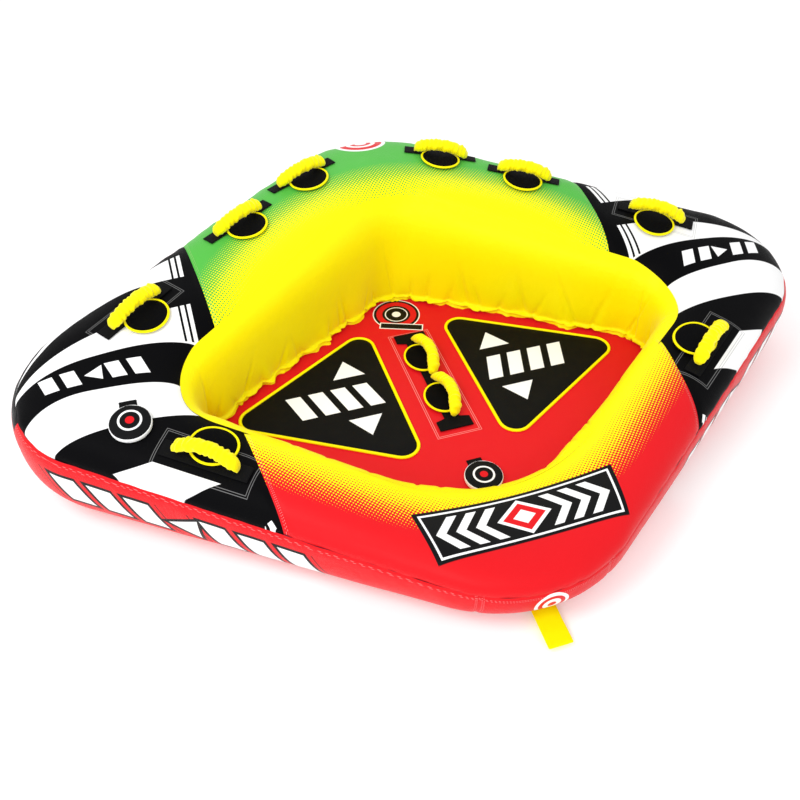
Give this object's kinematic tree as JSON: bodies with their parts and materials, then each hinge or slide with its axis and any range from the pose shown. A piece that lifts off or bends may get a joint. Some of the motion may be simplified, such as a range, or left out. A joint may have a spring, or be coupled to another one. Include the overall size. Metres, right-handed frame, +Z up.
{
  "type": "towable tube",
  "caption": "Inflatable towable water tube: diamond-shaped ring with a raised back round a sunken seat, in a sewn cover with webbing handles, capped air valves and tow straps.",
  "frame": {"origin": "on the ground under the middle of the seat", "axes": "+Z up, -Y towards the front (main tow) end, +X towards the right-hand rider seen from behind"},
  "size_m": [2.5512, 2.0178, 0.5818],
  "materials": {
    "yellow_cloth": "coated nylon, satin",
    "front_cloth": "coated nylon, satin, printed red fading to yellow",
    "rear_cloth": "coated nylon, satin, printed green fading to yellow",
    "side_cloth": "coated nylon, satin, printed black and white",
    "red_cloth": "coated nylon, satin",
    "bottom_cloth": "coated nylon, satin",
    "zip_tape": "woven zip tape",
    "zip_plastic": "moulded",
    "chamber_pvc": "smooth vinyl sheet",
    "seat_cloth": "coated nylon, satin, with black pads",
    "valve_plastic": "moulded",
    "valve_stem": "moulded",
    "cover_cloth": "cloth over foam, white edge",
    "black_webbing": "woven webbing",
    "guard_rubber": "foam rubber with a yellow edge",
    "grip_cloth": "nylon sleeve over foam",
    "yellow_webbing": "woven webbing"
  },
  "bodies": {
    "tube": {"backrest_panel": "yellow_cloth", "front_deck_panel": "front_cloth", "rear_deck_panel": "rear_cloth", "right_deck_panel": "side_cloth", "left_deck_panel": "side_cloth", "front_band_panel": "red_cloth", "rear_band_panel": "red_cloth", "right_band_panel": "red_cloth", "left_band_panel": "red_cloth", "bottom_panel": "bottom_cloth", "zip_tape": "zip_tape", "ring_air_chamber": "chamber_pvc", "seat_air_chamber": "chamber_pvc", "seat_panel": "seat_cloth", "ring_valve_base": "valve_plastic", "ring_valve_stem": "valve_stem", "seat_valve_base": "valve_plastic", "seat_valve_stem": "valve_stem", "right_rear_inner_strap": "black_webbing", "right_rear_inner_guard": "guard_rubber", "left_rear_inner_strap": "black_webbing", "left_rear_inner_guard": "guard_rubber", "right_rear_outer_strap": "black_webbing", "right_rear_outer_guard": "guard_rubber", "left_rear_outer_strap": "black_webbing", "left_rear_outer_guard": "guard_rubber", "right_side_strap": "black_webbing", "right_side_guard": "guard_rubber", "left_side_strap": "black_webbing", "left_side_guard": "guard_rubber", "right_front_strap": "black_webbing", "right_front_guard": "guard_rubber", "left_front_strap": "black_webbing", "left_front_guard": "guard_rubber", "seat_handle_strap": "black_webbing", "seat_front_guard": "guard_rubber", "seat_rear_guard": "guard_rubber", "front_tow_tab": "black_webbing", "rear_tow_tab": "black_webbing"},
    "right_rear_inner_grip": {"right_rear_inner_grip": "grip_cloth"},
    "left_rear_inner_grip": {"left_rear_inner_grip": "grip_cloth"},
    "right_rear_outer_grip": {"right_rear_outer_grip": "grip_cloth"},
    "left_rear_outer_grip": {"left_rear_outer_grip": "grip_cloth"},
    "right_side_grip": {"right_side_grip": "grip_cloth"},
    "left_side_grip": {"left_side_grip": "grip_cloth"},
    "right_front_grip": {"right_front_grip": "grip_cloth"},
    "left_front_grip": {"left_front_grip": "grip_cloth"},
    "seat_front_grip": {"seat_front_grip": "grip_cloth"},
    "seat_rear_grip": {"seat_rear_grip": "grip_cloth"},
    "ring_valve_cover": {"ring_valve_cover": "cover_cloth"},
    "ring_valve_cap": {"ring_valve_cap": "valve_plastic"},
    "seat_valve_cover": {"seat_valve_cover": "cover_cloth"},
    "seat_valve_cap": {"seat_valve_cap": "valve_plastic"},
    "front_tow_strap": {"front_tow_strap": "yellow_webbing"},
    "rear_tow_strap": {"rear_tow_strap": "yellow_webbing"},
    "zip_slider": {"zip_slider": "zip_plastic"}
  },
  "joints": [
    {"name": "right_rear_inner_grip_tilt", "type": "hinge", "parent": "tube", "child": "right_rear_inner_grip", "pos_m": [0.25665, 0.68327, 0.51954], "axis": [0.9282, -0.3481, -0.1318], "range_deg": [-94, 6]},
    {"name": "left_rear_inner_grip_tilt", "type": "hinge", "parent": "tube", "child": "left_rear_inner_grip", "pos_m": [-0.25665, 0.68329, 0.51966], "axis": [0.9282, 0.3481, 0.1316], "range_deg": [-94, 6]},
    {"name": "right_rear_outer_grip_tilt", "type": "hinge", "parent": "tube", "child": "right_rear_outer_grip", "pos_m": [0.51163, 0.5121, 0.48349], "axis": [0.8672, -0.4818, -0.1256], "range_deg": [-94, 6]},
    {"name": "left_rear_outer_grip_tilt", "type": "hinge", "parent": "tube", "child": "left_rear_outer_grip", "pos_m": [-0.51163, 0.51209, 0.48379], "axis": [0.8672, 0.4818, 0.1256], "range_deg": [-94, 6]},
    {"name": "right_side_grip_tilt", "type": "hinge", "parent": "tube", "child": "right_side_grip", "pos_m": [0.87771, 0.20657, 0.42673], "axis": [0.796, -0.5913, -0.1298], "range_deg": [-80, 20]},
    {"name": "left_side_grip_tilt", "type": "hinge", "parent": "tube", "child": "left_side_grip", "pos_m": [-0.87774, 0.20663, 0.42693], "axis": [0.7961, 0.5914, 0.1282], "range_deg": [-80, 20]},
    {"name": "right_front_grip_tilt", "type": "hinge", "parent": "tube", "child": "right_front_grip", "pos_m": [0.76704, -0.35124, 0.30631], "axis": [-0.8103, -0.5743, -0.1167], "range_deg": [-70, 30]},
    {"name": "left_front_grip_tilt", "type": "hinge", "parent": "tube", "child": "left_front_grip", "pos_m": [-0.76705, -0.35126, 0.30635], "axis": [-0.8103, 0.5743, 0.1164], "range_deg": [-70, 30]},
    {"name": "seat_front_grip_tilt", "type": "hinge", "parent": "tube", "child": "seat_front_grip", "pos_m": [0, -0.09, 0.079], "axis": [0, -1, 0], "range_deg": [-5, 85]},
    {"name": "seat_rear_grip_tilt", "type": "hinge", "parent": "tube", "child": "seat_rear_grip", "pos_m": [0, 0.118, 0.079], "axis": [0, -1, 0], "range_deg": [-5, 85]},
    {"name": "ring_valve_cover_hinge", "type": "hinge", "parent": "tube", "child": "ring_valve_cover", "pos_m": [-0.94001, -0.12924, 0.3458], "axis": [-1, 0.0005, -0.0023], "range_deg": [0, 90]},
    {"name": "ring_valve_cap_turn", "type": "hinge", "parent": "tube", "child": "ring_valve_cap", "pos_m": [-0.94, -0.187, 0.32908], "axis": [-0.0024, -0.2135, 0.9769], "continuous": true},
    {"name": "seat_valve_cover_hinge", "type": "hinge", "parent": "tube", "child": "seat_valve_cover", "pos_m": [0, -0.39, 0.072], "axis": [-1, 0, 0], "range_deg": [0, 90]},
    {"name": "seat_valve_cap_turn", "type": "hinge", "parent": "tube", "child": "seat_valve_cap", "pos_m": [0, -0.45, 0.068], "axis": [0, 0, 1], "continuous": true},
    {"name": "front_tow_strap_swing", "type": "hinge", "parent": "tube", "child": "front_tow_strap", "pos_m": [0, -0.88189, 0.02256], "axis": [-1, 0, 0], "range_deg": [-4, 50]},
    {"name": "rear_tow_strap_swing", "type": "hinge", "parent": "tube", "child": "rear_tow_strap", "pos_m": [0, 0.90848, 0.07061], "axis": [1, 0, 0], "range_deg": [-8, 80]},
    {"name": "zip_slide", "type": "slide", "parent": "tube", "child": "zip_slider", "axis": [1, 0, 0], "range_m": [0, 0.72]}
  ]
}
